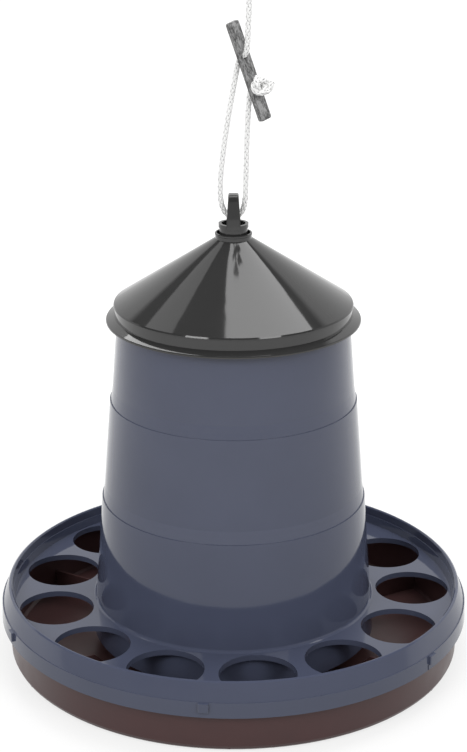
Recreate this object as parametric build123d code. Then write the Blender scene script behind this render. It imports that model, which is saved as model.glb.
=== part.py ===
from build123d import *
import math
import os

# Hanging poultry feeder, in millimetres. The origin is the centre of the dish's underside, +Z is up,
# and the front is -Y. An angle "around" is counted from the front, positive towards +X.

# Driving sizes of the feeding tray
base_radius = 193.5
dish_wall = 2.4
dish_floor = 2.5
dish_bottom_round = 6.0
dish_draft = 0.05
dish_top_gap = 2.0
spreader_radius = 92.0
spreader_tip_radius = 9.0
spreader_height = 46.0
rib_count = 6
rib_first = -61.0
rib_thick = 2.0
rib_height = 15.0
rib_skirt_gap = 4.0

# Driving sizes of the hopper moulding
wall = 2.2
tube_top_z = 304.0
tube_top_radius = 96.2
tube_draft = 0.078
upper_step_z = 226.3
lower_step_z = 139.5
step_flare = 0.7
step_flare_height = 11.0
step_ledge = 0.8
plate_top_z = 47.5
plate_thick = 2.4
foot_round = 2.5
seam_reach = 0.2
skirt_bottom_z = 17.0

# Driving sizes of the feed holes
hole_first = 7.2
hole_inner_gap = 4.8
hole_outer_gap = 1.9
hole_web = 11.8
hole_collar_wall = 1.8
hole_collar_depth = 2.4

# Driving sizes of the rim round the plate
rim_inset = 4.6
rim_ledge_z = 54.5
rim_ledge_width = 0.8
rim_inner_slope = 1.4
rim_top_z = 62.1
lip_width = 2.6
lip_round = 0.9
cone_band_drop = 15.1
cone_band_spread = 5.5
band_ledge = 0.8
band_height = 13.0
band_draft = 0.05

# Driving sizes of the six catches that carry the dish
catch_count = 6
catch_first = -6.7
boss_width = 8.4
boss_height = 7.6
boss_out = 2.4
boss_break = 0.6
boss_below_ledge = 0.4
pocket_wall = 1.5
lug_width = 4.6
lug_height = 4.8
catch_clearance = 0.4
slit_width = 1.3
slit_catch = 1

# Driving sizes of the hanger and of the spider that holds it
hanger_radius = 11.6
hanger_wall = 1.8
hanger_above_collar = 7.7
hanger_lip_out = 0.7
hanger_lip_height = 3.2
hub_height = 12.0
hub_wall = 3.0
hub_top_drop = 0.5
spider_arms = 3
spider_first = 30.0
arm_width = 4.0
arm_height = 9.0
fit_clearance = 0.3
flange_reach = 3.1
flange_thick = 3.0
bead_out = 0.9
bead_height = 1.5
eye_height = 24.2
eye_top_radius = 7.6
eye_root = 7.0
eye_straight = 1.0
eye_thick_root = 12.4
eye_thick_top = 8.4
eye_hole_radius = 5.5
eye_hole_below_top = 21.2
eye_mouth_round = 3.4
eye_edge_round = 1.0

# Driving sizes of the lid
lid_wall = 1.8
lid_side_wall = 1.6
collar_clearance = 1.6
collar_wall = 1.1
collar_bead_out = 0.4
collar_bead_height = 1.6
collar_height = 4.7
lid_rise = 59.1
shoulder_rise = 5.4
shoulder_edge = 1.3
shoulder_inset = 0.7
lid_side_clearance = 0.7
lid_seat_reach = 3.4
lid_seat_thick = 1.6
brim_reach = 7.1
lid_side_height = 9.9
brim_slope = 2.9
brim_edge = 1.6

# Driving sizes of the rope, its knots and its tensioner
rope_diameter = 4.6
rope_sides = 8
rope_hole_clearance = 0.5
rope_eye_gap = 0.9
tensioner_length = 82.0
tensioner_width = 10.5
tensioner_thick = 4.0
tensioner_round = 1.6
tensioner_tilt = 19.06
tensioner_turn = 38.0
tensioner_aside = 12.0
tensioner_above_eye = 120.6
rope_hole_spread = 26.0
stopper_radius = 8.8
stopper_flat = 7.4
stopper_tail = 5.0
top_knot_radius = 8.4
loop_leg = 2.45
loop_height = 39.0
loop_half_width = 12.4
top_knot_flat = 6.9

# Sizes that follow from the ones above
shoulder_z = tube_top_z + shoulder_rise
collar_top_z = shoulder_z + lid_rise
hanger_top_z = collar_top_z + hanger_above_collar
eye_top_z = hanger_top_z + eye_height

tube_step_radius = tube_top_radius + tube_draft * (tube_top_z - upper_step_z)
middle_top_radius = tube_step_radius + step_flare + step_ledge
middle_foot_radius = middle_top_radius + tube_draft * (upper_step_z - lower_step_z)
lower_top_radius = middle_foot_radius + step_flare + step_ledge
plate_bottom_z = plate_top_z - plate_thick
tube_foot_radius = lower_top_radius + tube_draft * (lower_step_z - plate_top_z)
skirt_top_radius = lower_top_radius + tube_draft * (lower_step_z - plate_bottom_z)
skirt_bottom_radius = lower_top_radius + tube_draft * (lower_step_z - skirt_bottom_z)
seam_radius = tube_foot_radius + foot_round + seam_reach

rim_foot_radius = base_radius - rim_inset
hole_radius = (rim_foot_radius - tube_foot_radius - hole_inner_gap - hole_outer_gap) / 2
hole_ring_radius = rim_foot_radius - hole_outer_gap - hole_radius
hole_count = int(2 * math.pi * hole_ring_radius / (2 * hole_radius + hole_web))

rim_ledge_radius = rim_foot_radius + rim_inner_slope
lip_inner_radius = rim_ledge_radius + rim_ledge_width + 0.05 * (rim_top_z - rim_ledge_z)
lip_outer_radius = lip_inner_radius + lip_width
cone_band_radius = lip_outer_radius + cone_band_spread
cone_band_z = rim_top_z - cone_band_drop
dish_top_z = cone_band_z - dish_top_gap
band_top_radius = cone_band_radius + band_ledge
band_bottom_z = cone_band_z - band_height
band_bottom_radius = band_top_radius + band_draft * band_height

hub_top_z = tube_top_z - hub_top_drop
hub_bottom_z = hub_top_z - hub_height
lip_bottom_z = hanger_top_z - hanger_lip_height
hub_bore_radius = hanger_radius + fit_clearance
hub_radius = hub_bore_radius + hub_wall
flange_radius = hub_radius + flange_reach
eye_hole_z = eye_top_z - eye_hole_below_top

lid_inner_radius = tube_top_radius + lid_side_clearance
lid_side_radius = lid_inner_radius + lid_side_wall
shoulder_radius = lid_side_radius + shoulder_inset
brim_radius = lid_side_radius + brim_reach
collar_bore_radius = hanger_radius + hanger_lip_out + collar_clearance
collar_radius = collar_bore_radius + collar_wall
cone_top_z = collar_top_z - collar_height
cone_fall = (cone_top_z - shoulder_z) / (shoulder_radius - collar_radius)
cone_wall_drop = lid_wall * math.hypot(1.0, cone_fall)
tensioner_up = Vector(-math.sin(math.radians(tensioner_tilt)), 0, math.cos(math.radians(tensioner_tilt)))
tensioner_side = Vector(math.cos(math.radians(tensioner_tilt)), 0, math.sin(math.radians(tensioner_tilt)))
tensioner_front = (tensioner_side * math.sin(math.radians(tensioner_turn))
                   - Vector(0, 1, 0) * math.cos(math.radians(tensioner_turn)))
tensioner_centre = Vector(tensioner_aside, 0, eye_hole_z + tensioner_above_eye)
tensioner_face = Plane(origin=tensioner_centre, x_dir=tensioner_up, z_dir=tensioner_front)


def turned(shape, around):
    """Turn a shape that was made along +X to an angle counted from the front."""
    return Rot(0, 0, around - 90) * shape


def evenly(count, first):
    """Angles of a ring of equal features."""
    return [first + 360 / count * i for i in range(count)]


def revolved(points, breaks=(), softened=()):
    """Solid of revolution about Z from (radius, z) points, with some corners broken or softened first."""
    profile = make_face(Polyline(*[(radius, 0, z) for radius, z in points], close=True))
    for (radius, z), size in breaks:
        profile = chamfer(nearest_corners(profile, radius, z, 1), size)
    for (radius, z), size in softened:
        profile = chamfer(nearest_corners(profile, radius, z, 1), size * 0.6)
        profile = chamfer(nearest_corners(profile, radius, z, 2), size * 0.25)
    return revolve(profile, Axis.Z)


def nearest_corners(profile, radius, z, count):
    """Corners of a profile that lie nearest to a point."""
    return profile.vertices().sort_by_distance((radius, 0, z))[:count]


def ring(outer, inner, bottom, top):
    """Plain upright tube about Z."""
    tube = Cylinder(outer, top - bottom, align=(Align.CENTER, Align.CENTER, Align.MIN))
    bore = Cylinder(inner, top - bottom, align=(Align.CENTER, Align.CENTER, Align.MIN))
    return Pos(0, 0, bottom) * (tube - bore)


def block(near, far, width, bottom, top):
    """Upright block along +X, from one radius to another."""
    size = Box(far - near, width, top - bottom, align=(Align.MIN, Align.CENTER, Align.MIN))
    return Pos(near, 0, bottom) * size


# Dish: the shallow brown pan with its central spreader and low ribs
def dish_outer(z):
    """Outer radius of the dish's wall at a height."""
    return base_radius + dish_draft * z


def make_dish():
    top_radius = dish_outer(dish_top_z)
    tip_z = dish_floor + spreader_height
    under = dish_wall
    pan = revolved(
        [
            (spreader_radius, 0),
            (base_radius, 0),
            (top_radius, dish_top_z),
            (top_radius - dish_wall, dish_top_z),
            (dish_outer(dish_floor) - dish_wall, dish_floor),
            (spreader_radius + under, dish_floor),
            (spreader_tip_radius, tip_z),
            (0, tip_z),
            (0, tip_z - under),
            (spreader_tip_radius - under / 2, tip_z - under),
        ],
        [
            ((dish_outer(dish_floor) - dish_wall, dish_floor), (dish_bottom_round - dish_wall) * 0.6),
            ((top_radius, dish_top_z), dish_wall * 0.3),
        ],
        [((base_radius, 0), dish_bottom_round)],
    )
    rib_start = skirt_bottom_radius + rib_skirt_gap
    rib_end = dish_outer(dish_floor) - dish_wall / 2
    for around in evenly(rib_count, rib_first):
        rib = block(rib_start, rib_end, rib_thick, dish_floor - 0.5, dish_floor + rib_height)
        front_edge = rib.edges().filter_by(Axis.Y).group_by(Axis.Z)[-1].sort_by(Axis.X)[0]
        pan += turned(chamfer(front_edge, rib_height * 0.6), around)
    lug_far = band_top_radius + boss_out - pocket_wall - catch_clearance
    lug = block(top_radius - dish_wall * 0.8, lug_far, lug_width, lug_bottom_z, lug_bottom_z + lug_height)
    for around in evenly(catch_count, catch_first):
        pan += turned(lug, around)
    return pan


# Hopper moulding, in two solids that meet at a seam in its plate
boss_top_z = cone_band_z - boss_below_ledge
boss_bottom_z = boss_top_z - boss_height
lug_bottom_z = boss_bottom_z + (boss_height - lug_height) / 2


def make_hopper():
    """Tube with its two ledges, its skirt below the plate and its spider, out to the seam in the plate."""
    flare_draft = tube_draft * step_flare_height
    tube = revolved(
        [
            (tube_top_radius, tube_top_z),
            (tube_step_radius - flare_draft, upper_step_z + step_flare_height),
            (tube_step_radius + step_flare, upper_step_z),
            (middle_top_radius, upper_step_z),
            (middle_foot_radius - flare_draft, lower_step_z + step_flare_height),
            (middle_foot_radius + step_flare, lower_step_z),
            (lower_top_radius, lower_step_z),
            (tube_foot_radius, plate_top_z),
            (seam_radius, plate_top_z),
            (seam_radius, plate_bottom_z),
            (skirt_top_radius, plate_bottom_z),
            (skirt_bottom_radius, skirt_bottom_z),
            (skirt_bottom_radius - wall, skirt_bottom_z),
            (lower_top_radius - wall, lower_step_z - wall),
            (middle_foot_radius - wall, lower_step_z - wall),
            (middle_top_radius - wall, upper_step_z - wall),
            (tube_step_radius - wall, upper_step_z - wall),
            (tube_top_radius - wall, tube_top_z),
        ],
        softened=[((tube_foot_radius, plate_top_z), foot_round)],
    )
    return add_spider(tube)


def make_feed_ring():
    """Holed plate and stepped rim, from the seam outwards, with the blocks that catch the dish."""
    slope = math.hypot(1.0, cone_band_spread / cone_band_drop)
    band_inner = cone_band_radius - wall * slope
    meet_radius = rim_ledge_radius + wall
    meet_drop = (meet_radius - lip_outer_radius + wall * slope) / cone_band_spread * cone_band_drop
    plate = revolved(
        [
            (seam_radius, plate_top_z),
            (rim_foot_radius, plate_top_z),
            (rim_ledge_radius, rim_ledge_z),
            (rim_ledge_radius + rim_ledge_width, rim_ledge_z),
            (lip_inner_radius, rim_top_z),
            (lip_outer_radius, rim_top_z),
            (cone_band_radius, cone_band_z),
            (band_top_radius, cone_band_z),
            (band_bottom_radius, band_bottom_z),
            (band_bottom_radius - wall, band_bottom_z),
            (band_top_radius - wall, cone_band_z - wall / 2),
            (band_inner, cone_band_z),
            (meet_radius, rim_top_z - meet_drop),
            (rim_foot_radius + wall, plate_bottom_z),
            (seam_radius, plate_bottom_z),
        ],
        [((lip_inner_radius, rim_top_z), lip_round), ((lip_outer_radius, rim_top_z), lip_round)],
    )
    return add_catches(add_feed_holes(plate))


def add_feed_holes(body):
    collar_bottom = plate_bottom_z - hole_collar_depth
    collar = ring(hole_radius + hole_collar_wall, hole_radius, collar_bottom, plate_top_z - plate_thick / 2)
    hole = Cylinder(hole_radius, 2 * plate_thick)
    for around in evenly(hole_count, hole_first):
        body += turned(Pos(hole_ring_radius, 0, 0) * collar, around)
    for around in evenly(hole_count, hole_first):
        body -= turned(Pos(hole_ring_radius, 0, plate_top_z - plate_thick / 2) * hole, around)
    return body


def add_catches(body):
    boss_far = band_top_radius + boss_out
    boss = block(band_top_radius - wall * 0.8, boss_far, boss_width, boss_bottom_z, boss_top_z)
    boss = chamfer(boss.edges().filter_by(Axis.Z).group_by(Axis.X)[-1], boss_break)
    pocket_width = lug_width + 2 * catch_clearance
    pocket = block(
        band_top_radius - 2 * wall, boss_far - pocket_wall, pocket_width,
        lug_bottom_z, lug_bottom_z + lug_height + catch_clearance,
    )
    for around in evenly(catch_count, catch_first):
        body += turned(boss, around)
    for around in evenly(catch_count, catch_first):
        body -= turned(pocket, around)
    slit = block(band_top_radius - 2 * wall, boss_far, slit_width, band_bottom_z - 1, boss_bottom_z)
    slit = Pos(0, -(boss_width + slit_width) / 2, 0) * slit
    return body - turned(slit, evenly(catch_count, catch_first)[slit_catch])


def add_spider(body):
    arm_end = tube_top_radius - wall / 2
    arm = block(hub_radius - hub_wall / 2, arm_end, arm_width, hub_top_z - arm_height, hub_top_z)
    body += ring(hub_radius, hub_bore_radius, hub_bottom_z, hub_top_z)
    for around in evenly(spider_arms, spider_first):
        body += turned(arm, around)
    return body


# Lid: cone with a collar, a shoulder and a flared brim
def make_lid():
    brim_in_z = shoulder_z - lid_side_height
    brim_top_z = brim_in_z - brim_slope
    brim_bottom_z = brim_top_z - brim_edge
    seat_radius = lid_inner_radius - lid_seat_reach
    return revolved(
        [
            (collar_radius + collar_bead_out, collar_top_z),
            (collar_radius + collar_bead_out, collar_top_z - collar_bead_height),
            (collar_radius, collar_top_z - collar_bead_height - collar_bead_out),
            (collar_radius, cone_top_z),
            (shoulder_radius, shoulder_z),
            (shoulder_radius, shoulder_z - shoulder_edge),
            (lid_side_radius, shoulder_z - shoulder_edge - shoulder_inset / 2),
            (lid_side_radius, brim_in_z),
            (brim_radius, brim_top_z),
            (brim_radius, brim_bottom_z),
            (brim_radius - lid_wall, brim_bottom_z),
            (lid_side_radius, brim_in_z - lid_wall),
            (lid_inner_radius, brim_in_z - lid_wall),
            (lid_inner_radius, tube_top_z),
            (seat_radius, tube_top_z),
            (seat_radius, tube_top_z + lid_seat_thick),
            (lid_inner_radius, tube_top_z + lid_seat_thick),
            (lid_inner_radius, lid_cone_z(lid_inner_radius)),
            (collar_bore_radius, lid_cone_z(collar_bore_radius)),
            (collar_bore_radius, collar_top_z),
        ],
        [
            ((collar_radius + collar_bead_out, collar_top_z), collar_wall * 0.4),
            ((shoulder_radius, shoulder_z), shoulder_edge * 0.6),
            ((brim_radius, brim_top_z), brim_edge * 0.3),
        ],
    )


def lid_cone_z(radius):
    """Height of the underside of the lid's cone at a radius."""
    return shoulder_z + (shoulder_radius - radius) * cone_fall - cone_wall_drop


# Hanger: a tube through hub and collar, with a flange below and the rope's eye on top
def make_hanger():
    tube = ring(hanger_radius, hanger_radius - hanger_wall, hub_bottom_z - flange_thick, hanger_top_z)
    flange = ring(flange_radius, hanger_radius - hanger_wall, hub_bottom_z - flange_thick, hub_bottom_z)
    lip = ring(hanger_radius + hanger_lip_out, hanger_radius - hanger_wall / 2, lip_bottom_z, hanger_top_z)
    bead = ring(hanger_radius + bead_out, hanger_radius - hanger_wall / 2, hub_top_z, hub_top_z + bead_height)
    return tube + flange + bead + lip + make_eye()


def make_eye():
    """Upright tongue across the tube, front to back, with the rope's hole through it along X."""
    root_z = hanger_top_z - eye_root
    lip_half = hanger_radius + hanger_lip_out
    root_half = hanger_radius - hanger_wall / 2
    half = [
        (root_half, root_z), (root_half, lip_bottom_z), (lip_half, lip_bottom_z),
        (lip_half, hanger_top_z + eye_straight), (eye_top_radius, eye_top_z),
    ]
    right = [(0, y, z) for y, z in half]
    left = [(0, -y, z) for y, z in reversed(half)]
    outline = make_face(Polyline(*right, *left, close=True))
    top_corners = outline.vertices().group_by(Axis.Z)[-1]
    outline = fillet(top_corners, eye_top_radius * 0.8)
    tongue = extrude(outline, amount=eye_thick_root / 2, dir=(1, 0, 0), both=True)
    keep = make_face(Polyline(
        (-eye_thick_root / 2, 0, root_z), (eye_thick_root / 2, 0, root_z),
        (eye_thick_top / 2, 0, eye_top_z), (-eye_thick_top / 2, 0, eye_top_z), close=True,
    ))
    tongue &= extrude(keep, amount=2 * hanger_radius, dir=(0, 1, 0), both=True)
    flanks = [e for e in tongue.edges() if e.bounding_box().min.Z > hanger_top_z + eye_straight - 0.1
              and e.bounding_box().size.X < eye_thick_top / 2]
    tongue = chamfer(flanks, eye_edge_round * 0.8)
    hole = Pos(0, 0, eye_hole_z) * Rot(0, 90, 0) * Cylinder(eye_hole_radius, 2 * eye_thick_root)
    tongue -= hole
    mouths = [e for e in tongue.edges() if abs((e @ 0).Z - eye_hole_z) < eye_hole_radius + 0.5
              and abs((e @ 0).Y) < eye_hole_radius + 0.5 and e.length > 4 * eye_hole_radius]
    return chamfer(mouths, eye_mouth_round)


# Rope: one line down through the tensioner, through the eye and back up to the stopper knot
def hole_centre(side):
    """Middle of the tensioner's upper (+1) or lower (-1) hole."""
    return tensioner_centre + tensioner_up * (side * rope_hole_spread / 2)


def above_eye(x, y, height):
    """Point of the rope's route at a height above the middle of the eye's hole."""
    return Vector(x, y, eye_hole_z + height)


def rope_route():
    upper = hole_centre(1)
    lower = hole_centre(-1)
    rope_low = eye_hole_radius - rope_diameter / 2 - rope_eye_gap
    reach = tensioner_thick + rope_diameter / 4
    return [
        above_eye(12.6, -4.6, 185.8),
        above_eye(11.4, -5.2, 154.8),
        upper + tensioner_front * reach,
        upper - tensioner_front * reach,
        above_eye(2.4, 5.6, 120.3),
        above_eye(-4.6, 3.2, 81.8),
        above_eye(-9.0, 1.4, 49.8),
        above_eye(-11.0, 0.4, 27.8),
        above_eye(-10.2, 0.0, 11.3),
        above_eye(-4.4, 0.0, rope_low),
        above_eye(4.2, 0.0, rope_low),
        above_eye(9.4, 0.0, 10.8),
        above_eye(9.9, 0.4, 27.8),
        above_eye(10.4, 1.6, 53.8),
        above_eye(11.8, 4.0, 90.8),
        lower - tensioner_front * reach,
        lower + tensioner_front * (tensioner_thick / 2),
    ]


def loop_route(start):
    """Teardrop of the hanging loop, from the knot's top and back to it."""
    half = [
        (loop_leg, 0.0),
        (loop_leg, 0.13 * loop_height),
        (0.73 * loop_half_width, 0.33 * loop_height),
        (loop_half_width, 0.6 * loop_height),
        (0.71 * loop_half_width, 0.86 * loop_height),
    ]
    right = [start + Vector(x, 0, z) for x, z in half]
    left = [start + Vector(-x, 0, z) for x, z in reversed(half)]
    return right + [start + Vector(0, 0, loop_height)] + left


def corner_radii(points):
    """Largest even arcs that the runs beside each corner leave room for."""
    radii = []
    for before, here, after in zip(points, points[1:], points[2:]):
        turn = math.radians((here - before).get_angle(after - here))
        shorter = min((here - before).length, (after - here).length)
        radii.append(0.45 * shorter / math.tan(turn / 2))
    return radii


def rope_tube(points, label):
    radii = corner_radii(points)
    path = FilletPolyline(*points, radius=radii)
    start = Plane(origin=path @ 0, z_dir=path % 0)
    section = start * RegularPolygon(rope_diameter / 2, rope_sides)
    tube = sweep(section, path=path)
    print(label, "length", round(path.length, 1), "volume/section*length",
          round(tube.volume / (section.area * path.length), 4))
    print(label, "radii", [round(r, 1) for r in radii])
    return tube


def make_tensioner():
    strip = Box(tensioner_length, tensioner_width, tensioner_thick)
    strip = fillet(strip.edges().filter_by(Axis.Z), tensioner_round)
    hole = Cylinder(rope_diameter / 2 + rope_hole_clearance, 2 * tensioner_thick)
    for side in (-1, 1):
        strip -= Pos(side * rope_hole_spread / 2, 0, 0) * hole
    return tensioner_face.location * strip


def rounded_knot(radius, height):
    """Plain outer shape of a knot: a short drum with its edges cut back."""
    drum = Cylinder(radius, height)
    return chamfer(drum.edges().filter_by(GeomType.CIRCLE), height * 0.28)


def make_stopper_knot():
    """Knot pulled flat against the tensioner's front face, with its short cut tail."""
    knot = rounded_knot(stopper_radius, 2 * stopper_flat)
    tail_end = RegularPolygon(rope_diameter / 2, rope_sides)
    tail = Rot(0, 90, 0) * extrude(tail_end, stopper_radius + stopper_tail)
    seat = Plane(origin=hole_centre(-1) + tensioner_front * (tensioner_thick / 2 + stopper_flat),
                 x_dir=Vector(1, 0, 0) - tensioner_front * tensioner_front.X, z_dir=tensioner_front)
    return seat.location * (knot + tail)


def make_top_knot(centre):
    return Pos(*centre) * rounded_knot(top_knot_radius, 2 * top_knot_flat)


route = rope_route()
line_start = route[0]
knot_centre = line_start + Vector(0, 0, top_knot_flat)
loop_start = line_start + Vector(0, 0, 2 * top_knot_flat)
straight_down = line_start - Vector(0, 0, rope_diameter)
nodes = {
    "dish": make_dish(),
    "hopper": make_hopper(),
    "feed_ring": make_feed_ring(),
    "lid": make_lid(),
    "hanger": make_hanger(),
    "tensioner": make_tensioner(),
    "rope": rope_tube([line_start, straight_down] + route[1:], "rope"),
    "stopper_knot": make_stopper_knot(),
    "top_knot": make_top_knot(knot_centre),
    "top_loop": rope_tube(loop_route(loop_start), "top_loop"),
}

os.makedirs("parts", exist_ok=True)
for name, shape in nodes.items():
    export_step(shape, f"parts/{name}.step")
    print(name, "solids", len(shape.solids()), "valid", shape.is_valid, "volume", round(shape.volume))
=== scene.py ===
# %% [markdown]
# A hanging poultry feeder in a plain white studio. The rigid pieces were built as solids and are loaded
# here as a fixed frame, in metres, with +Z up and the front towards -Y. This script gives them their
# plastics, makes the braided rope and its knots, and sets up the camera and the light.

# %% Load the frame
import math

import bmesh
import bpy
import numpy as np
from mathutils import Matrix, Vector


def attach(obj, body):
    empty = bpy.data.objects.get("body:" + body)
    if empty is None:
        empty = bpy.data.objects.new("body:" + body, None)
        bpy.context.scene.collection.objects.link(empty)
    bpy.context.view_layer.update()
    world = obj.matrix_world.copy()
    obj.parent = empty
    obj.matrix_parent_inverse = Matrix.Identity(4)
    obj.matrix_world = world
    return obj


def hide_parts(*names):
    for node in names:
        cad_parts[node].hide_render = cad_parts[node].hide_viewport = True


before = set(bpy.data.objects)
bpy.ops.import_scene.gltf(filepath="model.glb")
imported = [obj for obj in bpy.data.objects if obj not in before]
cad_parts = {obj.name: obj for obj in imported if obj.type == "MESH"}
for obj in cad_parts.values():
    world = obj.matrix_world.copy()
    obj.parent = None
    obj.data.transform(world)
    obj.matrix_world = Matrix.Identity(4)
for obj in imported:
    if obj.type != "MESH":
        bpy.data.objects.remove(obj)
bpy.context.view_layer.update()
MM = 0.001
scene = bpy.context.scene
scene.view_settings.view_transform = "Standard"

# %% [markdown]
# Colours are written as the hex values that a paint chart or a picture editor shows. Blender's shaders
# work in linear light, so one function does that change for every colour in this script. A second
# small function adds a shader node, sets its sockets and links its inputs, so that a whole material
# reads as a short list.


# %% Helpers for colours and shader nodes
def linear(hex_colour):
    """Linear RGBA of an sRGB hex colour, by the sRGB curve: ((c + 0.055) / 1.055) ** 2.4 above 0.04."""
    channels = [int(hex_colour[i:i + 2], 16) / 255 for i in (1, 3, 5)]
    return [c / 12.92 if c <= 0.04045 else ((c + 0.055) / 1.055) ** 2.4 for c in channels] + [1.0]


def node(tree, kind, inputs=None, **settings):
    """Add one node, set its own settings, then fill each named input with a value or a link."""
    made = tree.nodes.new(kind)
    for name, value in settings.items():
        setattr(made, name, value)
    for name, value in (inputs or {}).items():
        if isinstance(value, bpy.types.NodeSocket):
            tree.links.new(value, made.inputs[name])
        else:
            made.inputs[name].default_value = value
    return made


def blank_tree(owner):
    """Empty node tree of a material or a world."""
    owner.use_nodes = True
    owner.node_tree.nodes.clear()
    return owner.node_tree


print("slate blue in linear light:", [round(c, 3) for c in linear("#494e61")])

# %% [markdown]
# The camera stands where the photographer's did. Ten circles of the feeder, from the collar on the lid
# to the foot of the dish, were measured in the picture, and this place, tilt and focal length are the
# ones at which circles of the feeder's own sizes fall on them. No shift is needed.

# %% Camera
PICTURE_HEIGHT_PX = 752
FOCAL_PX = 1837.7
CAMERA_DISTANCE = 1451.3 * MM
CAMERA_HEIGHT = 758.4 * MM
CAMERA_TILT = math.radians(19.52)
SENSOR_WIDTH = 36.0

camera_data = bpy.data.cameras.new("camera")
camera_data.sensor_width = SENSOR_WIDTH
camera_data.lens = FOCAL_PX / PICTURE_HEIGHT_PX * SENSOR_WIDTH
camera = bpy.data.objects.new("camera", camera_data)
camera.location = (0, -CAMERA_DISTANCE, CAMERA_HEIGHT)
camera.rotation_euler = (math.pi / 2 - CAMERA_TILT, 0, 0)
scene.collection.objects.link(camera)
scene.camera = camera
print("lens", round(camera_data.lens, 1), "mm")

# %% [markdown]
# The rope is the one piece that isn't rigid. It comes down from its knot above the view, goes through
# the tensioner's upper hole, down to the hanger's eye, through it, and back up behind the tensioner to
# its lower hole. The route is a short list of points, and a smooth NURBS curve follows them. Each
# strand of the braid is then wound round that curve.

# %% The rope's route
ROPE_DIAMETER = 4.6 * MM
LINE_STEP = 0.6 * MM
ROPE_POINTS_MM = [
    (12.6, -4.6, 565.0),
    (12.6, -4.6, 561.0),
    (11.4, -5.2, 534.0),
    (10.69, -3.94, 513.10),
    (4.88, 3.94, 511.08),
    (2.4, 5.6, 499.5),
    (-4.6, 3.2, 461.0),
    (-9.0, 1.4, 429.0),
    (-11.0, 0.4, 407.0),
    (-10.2, 0.0, 390.5),
    (-4.4, 0.0, 381.5),
    (4.2, 0.0, 381.5),
    (9.4, 0.0, 390.0),
    (9.9, 0.4, 407.0),
    (10.4, 1.6, 433.0),
    (11.8, 4.0, 470.0),
    (13.34, 3.94, 486.51),
    (17.41, -1.58, 487.92),
]
LOOP_POINTS_MM = [
    (15.05, -4.6, 578.8),
    (15.05, -4.6, 583.8),
    (21.6, -4.6, 591.8),
    (25.0, -4.6, 602.3),
    (21.4, -4.6, 612.3),
    (12.6, -4.6, 617.8),
    (3.8, -4.6, 612.3),
    (0.2, -4.6, 602.3),
    (3.6, -4.6, 591.8),
    (10.15, -4.6, 583.8),
    (10.15, -4.6, 578.8),
]


def nurbs_line(name, points_mm):
    """Centreline of a cord: a NURBS spline of order 3 with the route's points as control points."""
    curve = bpy.data.curves.new(name, "CURVE")
    curve.dimensions = "3D"
    curve.resolution_u = 24
    spline = curve.splines.new("NURBS")
    spline.points.add(len(points_mm) - 1)
    for point, place in zip(spline.points, points_mm):
        point.co = (*[c * MM for c in place], 1)
    spline.order_u = 3
    spline.use_endpoint_u = True
    holder = bpy.data.objects.new(name, curve)
    scene.collection.objects.link(holder)
    bpy.context.view_layer.update()
    graph = bpy.context.evaluated_depsgraph_get()
    line = bpy.data.meshes.new_from_object(holder.evaluated_get(graph))
    places = np.zeros(len(line.vertices) * 3)
    line.vertices.foreach_get("co", places)
    bpy.data.objects.remove(holder)
    return places.reshape(-1, 3)


def evenly_spaced(line, step):
    """The same line with points a fixed distance apart, by linear interpolation on arc length."""
    along = np.concatenate([[0], np.cumsum(np.linalg.norm(np.diff(line, axis=0), axis=1))])
    count = int(round(along[-1] / step)) + 1
    wanted = np.linspace(0, along[-1], count)
    return np.stack([np.interp(wanted, along, line[:, i]) for i in range(3)], axis=1)


def line_length(line):
    """Length of a line of points."""
    return float(np.linalg.norm(np.diff(line, axis=0), axis=1).sum())


rope_line = evenly_spaced(nurbs_line("rope_route", ROPE_POINTS_MM), LINE_STEP)
loop_line = evenly_spaced(nurbs_line("loop_route", LOOP_POINTS_MM), LINE_STEP)
print("rope", round(line_length(rope_line) / MM, 1), "mm")
print("loop", round(line_length(loop_line) / MM, 1), "mm")

# %% [markdown]
# The rope is a white braid of eight strands, four wound each way, which pass over and under each other
# like the ribbons of a maypole. Each strand is a flattened tube. Its middle runs round the rope's line
# at a radius that swells where it passes over and shrinks where it passes under.

# %% Frames along a line
STRANDS_EACH_WAY = 4
BRAID_PITCH = 22.0 * MM
STRAND_HALF_WIDTH = 1.02 * MM
STRAND_HALF_THICK = 0.58 * MM
STRAND_SWELL = 0.40 * MM
STRAND_SIDES = 8
BRAID_FULLNESS = 0.15 * MM
NOT_ALONG_THE_ROPE = (0.3, 0.9, 0.2)


def unit(vectors):
    """Vectors scaled to length one."""
    return vectors / np.linalg.norm(vectors, axis=-1, keepdims=True)


def carried_axes(line):
    """Tangent, normal and side along a line. The normal keeps its direction as far as the bend lets it."""
    tangent = unit(np.gradient(line, axis=0))
    normal = np.zeros_like(tangent)
    normal[0] = unit(np.cross(tangent[0], NOT_ALONG_THE_ROPE))
    for i in range(1, len(line)):
        normal[i] = unit(normal[i - 1] - tangent[i] * np.dot(normal[i - 1], tangent[i]))
    return tangent, normal, np.cross(tangent, normal)


print("braid of", 2 * STRANDS_EACH_WAY, "strands, one turn in", round(BRAID_PITCH / MM, 1), "mm")

# %% [markdown]
# A strand is a tube of eight sides with a fan of triangles over each end, so it is closed. The faces
# are the same pattern for every strand, and only the points differ. Each point also keeps how deep it
# lies in the braid, so that the material can paint shade, a grey, into the hollows between strands.


# %% Flattened tube and braid
FULL_SHADE_DEPTH = 1.3 * MM


def tube_faces(rows, sides):
    """Quads between the rings of a tube and a fan of triangles over each end."""
    row, side = np.meshgrid(np.arange(rows - 1), np.arange(sides), indexing="ij")
    after = (side + 1) % sides
    quads = np.stack([row * sides + side, row * sides + after,
                      (row + 1) * sides + after, (row + 1) * sides + side], axis=-1).reshape(-1, 4)
    ring = np.arange(sides)
    first = np.stack([(ring + 1) % sides, ring, np.full(sides, rows * sides)], axis=1)
    offset = (rows - 1) * sides
    last = np.stack([ring + offset, (ring + 1) % sides + offset,
                     np.full(sides, rows * sides + 1)], axis=1)
    return quads, np.concatenate([first, last])


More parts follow.
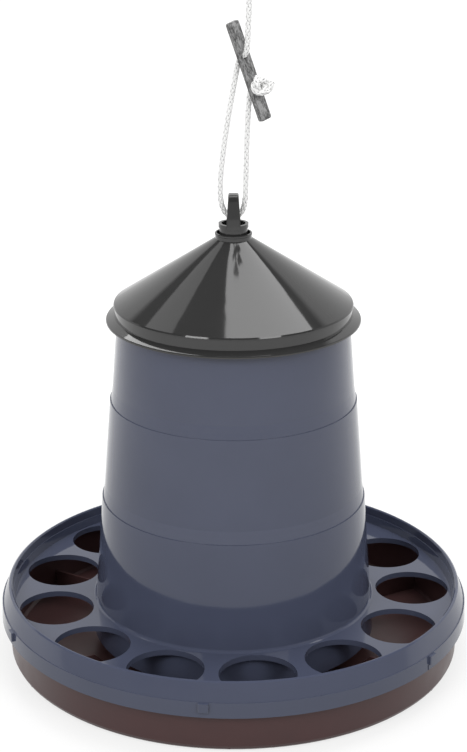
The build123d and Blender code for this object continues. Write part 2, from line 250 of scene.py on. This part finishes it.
def strand_points(middle, outward):
    """Rings of a strand: middle + width * cos(a) * across + thickness * sin(a) * outward."""
    travel = unit(np.gradient(middle, axis=0))
    across = unit(np.cross(travel, outward))
    lifted = np.cross(across, travel)
    angle = np.linspace(0, 2 * np.pi, STRAND_SIDES, endpoint=False)[None, :, None]
    rings = (middle[:, None, :] + across[:, None, :] * STRAND_HALF_WIDTH * np.cos(angle)
             + lifted[:, None, :] * STRAND_HALF_THICK * np.sin(angle))
    return np.concatenate([rings.reshape(-1, 3), middle[:1], middle[-1:]])


def braid_parts(line, diameter):
    """Points and faces of eight strands round a line.

    A strand winds by 2 pi per pitch, one way or the other, at the radius
    r + s * cos(4 * winding angle), with s positive for one way round and negative for the other.
    The third result is each point's depth below the braid's outside.
    """
    tangent, normal, side = carried_axes(line)
    along = np.concatenate([[0], np.cumsum(np.linalg.norm(np.diff(line, axis=0), axis=1))])
    winding = 2 * np.pi * along / BRAID_PITCH
    mean_radius = diameter / 2 + BRAID_FULLNESS - STRAND_SWELL - STRAND_HALF_THICK
    quads, fans = tube_faces(len(line), STRAND_SIDES)
    all_points, all_faces, all_depths, start = [], [], [], 0
    for way in (1, -1):
        for strand in range(STRANDS_EACH_WAY):
            angle = way * winding + 2 * np.pi * strand / STRANDS_EACH_WAY
            radius = mean_radius + way * STRAND_SWELL * np.cos(STRANDS_EACH_WAY * winding)
            outward = normal * np.cos(angle)[:, None] + side * np.sin(angle)[:, None]
            points = strand_points(line + outward * radius[:, None], outward)
            nearest = np.concatenate([np.repeat(line, STRAND_SIDES, axis=0), line[:1], line[-1:]])
            from_line = np.linalg.norm(points - nearest, axis=1)
            all_points.append(points)
            all_depths.append(diameter / 2 + BRAID_FULLNESS - from_line)
            all_faces += (quads + start).tolist() + (fans + start).tolist()
            start += len(points)
    return np.concatenate(all_points), all_faces, np.concatenate(all_depths)


def braid_object(name, lines, diameter):
    """One mesh object with a braid along each of the lines, its faces outward."""
    points, faces, depths = [], [], []
    for line in lines:
        more_points, more_faces, more_depths = braid_parts(line, diameter)
        shift = sum(len(p) for p in points)
        points.append(more_points)
        faces += [[v + shift for v in face] for face in more_faces]
        depths.append(more_depths)
    mesh = bpy.data.meshes.new(name)
    mesh.from_pydata(np.concatenate(points).tolist(), [], faces)
    mesh.polygons.foreach_set("use_smooth", np.ones(len(mesh.polygons), bool))
    work = bmesh.new()
    work.from_mesh(mesh)
    bmesh.ops.recalc_face_normals(work, faces=work.faces)
    work.to_mesh(mesh)
    work.free()
    # painted shade mask: how deep each point lies below the braid's outside, turned into grey by the
    # material
    hollow_shade = mesh.attributes.new("hollow_shade", "FLOAT", "POINT")
    hollow_shade.data.foreach_set("value", np.clip(np.concatenate(depths) / FULL_SHADE_DEPTH, 0, 1))
    made = bpy.data.objects.new(name, mesh)
    scene.collection.objects.link(made)
    print(name, len(mesh.polygons), "faces")
    return made


print("a strand's faces per millimetre:", round(STRAND_SIDES * MM / LINE_STEP, 1))

# %% [markdown]
# The two knots are overhand knots pulled up round. Seen from its front, such a knot is a ring of cord
# with a small hole, and the cord winds round that ring as it goes about it twice. That is a torus knot,
# and it has a short formula. The stopper knot also has its cut end, which turns up beside it.


# %% Rope, loop and knots
def knot_line(centre, facing, up, ring_radius, winding_radius, depth):
    """Overhand knot as a torus knot round the facing direction.

    With w = ring + winding * cos 3t: x = w * cos 2t, y = w * sin 2t and z = depth * sin 3t.
    """
    t = np.linspace(0, 2 * np.pi, 121)[:, None]
    facing, up = unit(np.array(facing, float)), np.array(up, float)
    up = unit(up - facing * np.dot(up, facing))
    side = np.cross(up, facing)
    width = ring_radius + winding_radius * np.cos(3 * t)
    return (np.array(centre) + side * width * np.cos(2 * t) + up * width * np.sin(2 * t)
            + facing * depth * np.sin(3 * t)) * MM


STOPPER_CENTRE_MM = (21.2, -7.6, 490.0)
STOPPER_FACING = (0.582, -0.788, 0.201)
STOPPER_UP = (0.2, 0, 1)
TAIL_POINTS_MM = [(21.5, -8.4, 484.6), (25.6, -8.0, 484.4), (29.2, -6.8, 487.2), (30.6, -6.0, 492.4)]
TOP_KNOT_CENTRE_MM = (12.6, -4.6, 571.9)
TOWARDS_FRONT = (0, -1, 0)
UPWARDS = (0, 0, 1)

stopper_line = knot_line(STOPPER_CENTRE_MM, STOPPER_FACING, STOPPER_UP,
                         ring_radius=4.9, winding_radius=1.5, depth=2.2)
tail_line = evenly_spaced(nurbs_line("tail_route", TAIL_POINTS_MM), LINE_STEP)
top_knot_line = knot_line(TOP_KNOT_CENTRE_MM, TOWARDS_FRONT, UPWARDS,
                          ring_radius=3.6, winding_radius=1.4, depth=2.2)

rope_braid = braid_object("rope_braid", [rope_line], ROPE_DIAMETER)
loop_braid = braid_object("loop_braid", [loop_line], ROPE_DIAMETER)
stopper_braid = braid_object("stopper_braid", [stopper_line, tail_line], ROPE_DIAMETER)
top_knot_braid = braid_object("top_knot_braid", [top_knot_line], ROPE_DIAMETER)
for braid, solid in ((rope_braid, "rope"), (loop_braid, "top_loop"),
                     (stopper_braid, "stopper_knot"), (top_knot_braid, "top_knot")):
    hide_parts(solid)
    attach(braid, "feeder")

# %% [markdown]
# The solids come with doubled points along their edges. A merged copy of each has single points and is
# shaded smooth, with sharp edges where the real moulding has them. Most of these walls are turned about
# the feeder's axis, and their long thin triangles would still bend a reflection. So the turned faces get
# shading normals worked out from the axis, and a highlight then runs straight over a cone or a wall.

# %% Smooth copies of the moulded pieces
SHARP_ANGLE = math.radians(32)
MERGE_DISTANCE = 0.005 * MM
LEVEL_SLOPE = 0.02
FACES_THE_AXIS = 0.9


def read_array(items, name, width=1):
    """Numpy array of one attribute of a Blender collection."""
    values = np.zeros(len(items) * width)
    items.foreach_get(name, values)
    return values.reshape(-1, width) if width > 1 else values.astype(int)


def turned_normals(mesh, slack):
    """Corner normals, with those of turned faces worked out from the axis.

    At each corner the radial direction is (x, y) / r. A face is turned where its normal, drawn through
    the axis, passes each of its corners within the slack. Its corner normal is then the radial direction
    times the face normal's radial part, plus the same height part. Other faces keep Blender's normals.
    """
    normals = read_array(mesh.corner_normals, "vector", 3)
    places = read_array(mesh.vertices, "co", 3)[read_array(mesh.loops, "vertex_index")]
    face = np.repeat(read_array(mesh.polygons, "normal", 3), 3, axis=0)
    radius = np.linalg.norm(places[:, :2], axis=1)
    radial = places[:, :2] / np.maximum(radius, 1e-9)[:, None]
    slope = np.linalg.norm(face[:, :2], axis=1)
    heading = face[:, :2] / np.maximum(slope, 1e-9)[:, None]
    aside = np.abs(places[:, 0] * heading[:, 1] - places[:, 1] * heading[:, 0])
    facing = (radial * heading).sum(axis=1)
    turned = (slope < LEVEL_SLOPE) | ((aside < slack) & (np.abs(facing) > FACES_THE_AXIS))
    turned = np.repeat(turned.reshape(-1, 3).all(axis=1), 3)
    worked_out = np.concatenate([radial * (np.sign(facing) * slope)[:, None], face[:, 2:]], axis=1)
    return np.where(turned[:, None], worked_out, normals), turned.mean()


def smooth_copy(node_name, body, slack):
    """Merged copy of a solid with smooth faces and sharp corners, in place of the solid."""
    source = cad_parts[node_name]
    mesh = source.data.copy()
    work = bmesh.new()
    work.from_mesh(mesh)
    bmesh.ops.remove_doubles(work, verts=work.verts, dist=MERGE_DISTANCE)
    bmesh.ops.recalc_face_normals(work, faces=work.faces)
    for face in work.faces:
        face.smooth = True
    for edge in work.edges:
        edge.smooth = len(edge.link_faces) == 2 and edge.calc_face_angle(math.pi) < SHARP_ANGLE
    work.to_mesh(mesh)
    work.free()
    if "custom_normal" in mesh.attributes:
        mesh.attributes.remove(mesh.attributes["custom_normal"])
    normals, share = turned_normals(mesh, slack)
    mesh.normals_split_custom_set(normals.tolist())
    made = bpy.data.objects.new(node_name + "_moulding", mesh)
    scene.collection.objects.link(made)
    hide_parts(node_name)
    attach(made, body)
    print(made.name, len(mesh.polygons), "faces,", round(share * 100), "percent of them turned")
    return made


hopper = smooth_copy("hopper", "feeder", slack=8 * MM)
feed_ring = smooth_copy("feed_ring", "feeder", slack=5.5 * MM)
dish = smooth_copy("dish", "feeder", slack=8 * MM)
hanger = smooth_copy("hanger", "feeder", slack=2 * MM)
lid = smooth_copy("lid", "lid", slack=12 * MM)
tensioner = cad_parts["tensioner"]

# %% [markdown]
# The mouldings are polypropylene. One function makes that plastic: an even colour with a slight cloud
# of pigment, long shallow waves that a thick wall leaves as it cools, and a very fine grain. Sizes are
# in millimetres, and a noise texture's scale is one over the size of its features.


# %% Moulded plastic
NOISE_LOW, NOISE_HIGH = 0.3, 0.7
GRAIN_SIZE_MM = 0.9


def noise(tree, place, size_mm, detail):
    """Noise with features of about that many millimetres."""
    return node(tree, "ShaderNodeTexNoise", {
        "Vector": place, "Scale": 1 / (size_mm * MM), "Detail": detail}).outputs["Fac"]


def spread_about(tree, value, centre, spread):
    """Map a noise, which keeps near 0.5, to centre * (1 - spread) up to centre * (1 + spread)."""
    return node(tree, "ShaderNodeMapRange", {
        "Value": value, "From Min": NOISE_LOW, "From Max": NOISE_HIGH,
        "To Min": centre * (1 - spread), "To Max": centre * (1 + spread)}).outputs["Result"]


def moulded_plastic(name, colour, roughness, ior, cloud_mm, cloudiness, wave_mm, wave_depth_mm,
                    grain_depth_mm):
    """Injection-moulded thermoplastic of one colour, with clouds, waves and grain of those sizes."""
    material = bpy.data.materials.new(name)
    tree = blank_tree(material)
    place = node(tree, "ShaderNodeTexCoord").outputs["Object"]
    cloud = noise(tree, place, cloud_mm, detail=4.0)
    tinted = node(tree, "ShaderNodeHueSaturation", {
        "Color": linear(colour), "Value": spread_about(tree, cloud, 1.0, cloudiness)})
    waves = node(tree, "ShaderNodeBump", {
        "Height": noise(tree, place, wave_mm, detail=2.0), "Distance": wave_depth_mm * MM,
        "Strength": 1.0})
    grain = node(tree, "ShaderNodeBump", {
        "Height": noise(tree, place, GRAIN_SIZE_MM, detail=3.0), "Distance": grain_depth_mm * MM,
        "Strength": 1.0, "Normal": waves.outputs["Normal"]})
    shader = node(tree, "ShaderNodeBsdfPrincipled", {
        "Base Color": tinted.outputs["Color"], "Roughness": spread_about(tree, cloud, roughness, 0.15),
        "Normal": grain.outputs["Normal"], "IOR": ior})
    node(tree, "ShaderNodeOutputMaterial", {"Surface": shader.outputs["BSDF"]})
    return material


# polypropylene, slate blue, from a polished mould: sharp reflections, a little weaker than the usual
# refractive index of 1.49 gives
slate_plastic = moulded_plastic(
    "polypropylene_slate_blue", "#494e61", roughness=0.07, ior=1.42, cloud_mm=40, cloudiness=0.03,
    wave_mm=50, wave_depth_mm=0.24, grain_depth_mm=0.002)
# polypropylene, charcoal grey, from a polished mould: sharp and bright reflections on a dark skin
charcoal_plastic = moulded_plastic(
    "polypropylene_charcoal", "#303030", roughness=0.07, ior=1.49, cloud_mm=40, cloudiness=0.03,
    wave_mm=45, wave_depth_mm=0.14, grain_depth_mm=0.002)
# polypropylene, dark brown, with a satin skin: soft and weak reflections
brown_plastic = moulded_plastic(
    "polypropylene_dark_brown", "#4a3333", roughness=0.34, ior=1.38, cloud_mm=30, cloudiness=0.06,
    wave_mm=60, wave_depth_mm=0.08, grain_depth_mm=0.010)
print("plastics:", slate_plastic.name, charcoal_plastic.name, brown_plastic.name)

# %% [markdown]
# The tensioner is a strip of reground plastic. Its skin is dull, and dark and light grains of 1 to 4 mm
# show in it, drawn out along the strip by the flow into the mould. A Mapping node turns the pattern to
# the strip's own tilt and stretches it along its length.


# %% Reground plastic of the tensioner
TENSIONER_TILT = math.radians(19.06)
FLOW_STRETCH = 2.5
GREY_SPECKLE_MM = 0.9
GREY_BLOTCH_MM = 4.0


def two_tones(tree, value, low, low_colour, high, high_colour):
    """Colour ramp from one colour at a low value to another at a high one."""
    made = node(tree, "ShaderNodeValToRGB", {"Fac": value})
    first, second = made.color_ramp.elements
    first.position, first.color = low, linear(low_colour)
    second.position, second.color = high, linear(high_colour)
    return made.outputs["Color"]


def reground_plastic(name):
    """Dull grey plastic with a speckle in colour and height."""
    material = bpy.data.materials.new(name)
    tree = blank_tree(material)
    straight = node(tree, "ShaderNodeMapping", {
        "Vector": node(tree, "ShaderNodeTexCoord").outputs["Object"],
        "Rotation": (0, -TENSIONER_TILT, 0), "Scale": (1, 1, FLOW_STRETCH)},
        vector_type="TEXTURE").outputs["Vector"]
    speckle = noise(tree, straight, GREY_SPECKLE_MM, detail=4.0)
    blotch = noise(tree, straight, GREY_BLOTCH_MM, detail=3.0)
    both = node(tree, "ShaderNodeMath", {0: speckle, 1: blotch}, operation="ADD").outputs["Value"]
    mean = node(tree, "ShaderNodeMath", {0: both, 1: 0.5}, operation="MULTIPLY").outputs["Value"]
    rough = node(tree, "ShaderNodeBump", {"Height": speckle, "Distance": 0.25 * MM, "Strength": 0.6})
    shader = node(tree, "ShaderNodeBsdfPrincipled", {
        "Base Color": two_tones(tree, mean, 0.41, "#464646", 0.59, "#a2a2a2"),
        "Roughness": 0.6, "Normal": rough.outputs["Normal"]})
    node(tree, "ShaderNodeOutputMaterial", {"Surface": shader.outputs["BSDF"]})
    return material


# reground polyolefin, mottled grey, with a dull skin
grey_reground = reground_plastic("reground_plastic_mottled_grey")
print("tensioner:", grey_reground.name)

# %% [markdown]
# The rope's yarn is white polyester. Fine filaments run along the strands and give it a soft sheen, a
# little light goes into the yarn and comes out again beside, and the hollows between the strands get
# painted shade, a grey. The filaments are too fine for the picture, so they are drawn 0.35 mm wide.


# %% Polyester yarn of the rope
FILAMENT_MM = 0.35
YARN_CLOUD_MM = 12.0


def braided_polyester(name):
    """White polyester yarn: fine filaments, sheen, and painted shade, a little grey, in the hollows."""
    material = bpy.data.materials.new(name)
    tree = blank_tree(material)
    place = node(tree, "ShaderNodeTexCoord").outputs["Object"]
    cloud = noise(tree, place, YARN_CLOUD_MM, detail=3.0)
    # painted shade: the deeper a point lies in the braid, the greyer its white, for the shade in the
    # hollows
    hollow_shade = node(tree, "ShaderNodeAttribute", attribute_name="hollow_shade").outputs["Fac"]
    tinted = node(tree, "ShaderNodeHueSaturation", {
        "Color": two_tones(tree, hollow_shade, 0.36, "#fbfbfa", 0.72, "#9c9c9e"),
        "Value": spread_about(tree, cloud, 0.99, 0.01)})
    fuzz = node(tree, "ShaderNodeBump", {
        "Height": noise(tree, place, FILAMENT_MM, detail=2.0), "Distance": 0.08 * MM, "Strength": 0.6})
    shader = node(tree, "ShaderNodeBsdfPrincipled", {
        "Base Color": tinted.outputs["Color"], "Roughness": 0.75, "Normal": fuzz.outputs["Normal"],
        "Sheen Weight": 0.3, "Sheen Roughness": 0.5, "Subsurface Weight": 0.15,
        "Subsurface Radius": (1.0, 1.0, 1.0), "Subsurface Scale": 0.6 * MM})
    node(tree, "ShaderNodeOutputMaterial", {"Surface": shader.outputs["BSDF"]})
    return material


# polyester, white, braided from eight yarns
white_braid = braided_polyester("polyester_braid_white")
print("rope:", white_braid.name)

# %% [markdown]
# Each piece has one material. The tensioner's solid keeps its own shape, so it only gets its plastic.


# %% Materials on the pieces
def dress(obj, material):
    """Give a piece one material."""
    obj.data.materials.clear()
    obj.data.materials.append(material)


for material, pieces in ((slate_plastic, (hopper, feed_ring)), (brown_plastic, (dish,)),
                         (charcoal_plastic, (lid, hanger)), (grey_reground, (tensioner,)),
                         (white_braid, (rope_braid, loop_braid, stopper_braid, top_knot_braid))):
    for piece in pieces:
        dress(piece, material)
    print(material.name, "on", [piece.name for piece in pieces])

# %% [markdown]
# The floor is plain white paper. The camera, mirrored rays and rays through a clear piece all see it
# white, so the glossy plastic mirrors the same paper that the camera sees. Scattered rays see a darker
# matt paper. That way the background is white without more light on the feeder, and the floor keeps
# the feeder's shadow.

# %% Floor
FLOOR_REACH = 40.0
WHITE = linear("#ffffff")
PAPER_LIFT = 0.72
NEAR, FAR = 0.45, 0.85
floor_mesh = bpy.data.meshes.new("studio_floor")
floor_mesh.from_pydata([(-FLOOR_REACH, -FLOOR_REACH, 0), (FLOOR_REACH, -FLOOR_REACH, 0),
                        (FLOOR_REACH, FLOOR_REACH, 0), (-FLOOR_REACH, FLOOR_REACH, 0)], [], [(0, 1, 2, 3)])
floor = bpy.data.objects.new("studio_floor", floor_mesh)
scene.collection.objects.link(floor)


def background_rays(tree):
    """1 for camera, glossy and transmission rays, which all see the background, and 0 for the others."""
    rays = node(tree, "ShaderNodeLightPath").outputs
    mirrored = node(tree, "ShaderNodeMath", {0: rays["Is Glossy Ray"], 1: rays["Is Transmission Ray"]},
                    operation="MAXIMUM").outputs["Value"]
    return node(tree, "ShaderNodeMath", {0: rays["Is Camera Ray"], 1: mirrored},
                operation="MAXIMUM").outputs["Value"]


# matt paper, darker round the feeder, so that it throws little light up at it
paper = bpy.data.materials.new("white_paper")
tree = blank_tree(paper)
place = node(tree, "ShaderNodeTexCoord").outputs["Object"]
distance = node(tree, "ShaderNodeVectorMath", {0: place}, operation="LENGTH").outputs["Value"]
far = node(tree, "ShaderNodeMapRange", {"Value": distance, "From Min": NEAR, "From Max": FAR})
matt_grey = node(tree, "ShaderNodeMixRGB", {"Fac": far.outputs["Result"], "Color1": linear("#8c8c8c"),
                                            "Color2": linear("#b4b4b4")}).outputs["Color"]
matt = node(tree, "ShaderNodeBsdfDiffuse", {"Color": matt_grey})
lift = node(tree, "ShaderNodeEmission", {"Color": WHITE, "Strength": PAPER_LIFT})
lifted = node(tree, "ShaderNodeAddShader", {0: matt.outputs["BSDF"], 1: lift.outputs["Emission"]})
seen = node(tree, "ShaderNodeMixShader", {"Fac": background_rays(tree), 1: matt.outputs["BSDF"],
                                          2: lifted.outputs["Shader"]})
node(tree, "ShaderNodeOutputMaterial", {"Surface": seen.outputs["Shader"]})
dress(floor, paper)
print("floor", 2 * FLOOR_REACH, "m wide, in", paper.name)

# %% [markdown]
# The room is one gradient on the world. Its low walls are pale grey, and behind the feeder a white
# backdrop hangs a third of the way up. Above them is a dim ceiling, which keeps the lid dark between
# its highlights. Scattered rays see an even white room instead, which is the soft light on the feeder.

# %% Room
CEILING, WALL, BACKDROP = 0.10, 0.58, 1.0
WALL_TOP, BACKDROP_TOP = 0.24, 0.62
RIGHT_RISE = 0.12
SOFT_EDGE = 0.03
FILL = 0.78
world = bpy.data.worlds.new("studio_room")
scene.world = world
tree = blank_tree(world)
direction = node(tree, "ShaderNodeTexCoord").outputs["Generated"]
parts = node(tree, "ShaderNodeSeparateXYZ", {"Vector": direction}).outputs
wall_tone = node(tree, "ShaderNodeMapRange", {
    "Value": parts["Y"], "From Min": 0.1, "From Max": 0.5,
    "To Min": WALL, "To Max": BACKDROP}).outputs["Result"]
wall_top = node(tree, "ShaderNodeMapRange", {
    "Value": parts["Y"], "From Min": -0.2, "From Max": 0.5,
    "To Min": WALL_TOP, "To Max": BACKDROP_TOP}).outputs["Result"]
right_higher = node(tree, "ShaderNodeMath", {0: parts["X"], 1: RIGHT_RISE, 2: wall_top},
                    operation="MULTIPLY_ADD").outputs["Value"]
below_top = node(tree, "ShaderNodeMath", {0: right_higher, 1: parts["Z"]},
                 operation="SUBTRACT").outputs["Value"]
room_tone = node(tree, "ShaderNodeMapRange", {
    "Value": below_top, "From Min": -SOFT_EDGE, "From Max": SOFT_EDGE,
    "To Min": CEILING, "To Max": wall_tone}).outputs["Result"]
room = node(tree, "ShaderNodeBackground", {"Color": WHITE, "Strength": room_tone})
fill = node(tree, "ShaderNodeBackground", {"Color": WHITE, "Strength": FILL})
shown = node(tree, "ShaderNodeMixShader", {"Fac": background_rays(tree), 1: fill.outputs["Background"],
                                           2: room.outputs["Background"]})
node(tree, "ShaderNodeOutputWorld", {"Surface": shown.outputs["Shader"]})
print("room:", world.name, "with a soft light of", FILL)

# %% [markdown]
# Six softboxes light the feeder: a large one above and behind to the right, a smaller one above to the
# left, two high behind, which draw the highlights on the lid's brim, and two in front at the sides. The
# large one's long side follows the bright sector that the photograph shows on the lid.


# %% Softboxes
LID = (0, 0, 0.3)
TUBE = (0, 0, 0.2)


def softbox(name, place, size, radiance, target, along=None):
    """Rectangular area lamp that faces a point, with its long side along a direction, or level.

    Its power is radiance times pi times its area.
    """
    lamp = bpy.data.lights.new(name, "AREA")
    lamp.shape = "RECTANGLE"
    lamp.size, lamp.size_y = size
    lamp.energy = radiance * math.pi * size[0] * size[1]
    back = (Vector(place) - Vector(target)).normalized()
    level = Vector(UPWARDS).cross(back)
    side = (Vector(along) - back * Vector(along).dot(back) if along else level).normalized()
    made = bpy.data.objects.new(name, lamp)
    made.location = place
    made.rotation_euler = Matrix((side, back.cross(side), back)).transposed().to_euler()
    scene.collection.objects.link(made)
    print(name, round(lamp.energy, 1), "W")
    return made


softbox("top_right_softbox", (0.51, 0.465, 2.25), (1.52, 0.62), 4.5, (0.10, 0, 0.3), along=(0.86, 0.51, 0))
softbox("top_left_softbox", (-1.00, 0.80, 2.00), (0.45, 0.60), 1.2, LID)
softbox("back_left_strip", (-0.62, 1.28, 1.90), (1.10, 0.34), 4.4, LID, along=(0.454, -0.891, 0))
softbox("back_strip", (0.09, 0.78, 1.90), (0.46, 0.40), 3.0, LID, along=(1, 0.1, 0))
softbox("front_left_softbox", (-1.3, -1.7, 1.5), (0.8, 0.8), 7.5, TUBE)
softbox("front_right_softbox", (1.3, -1.7, 1.5), (0.8, 0.8), 6.0, TUBE)
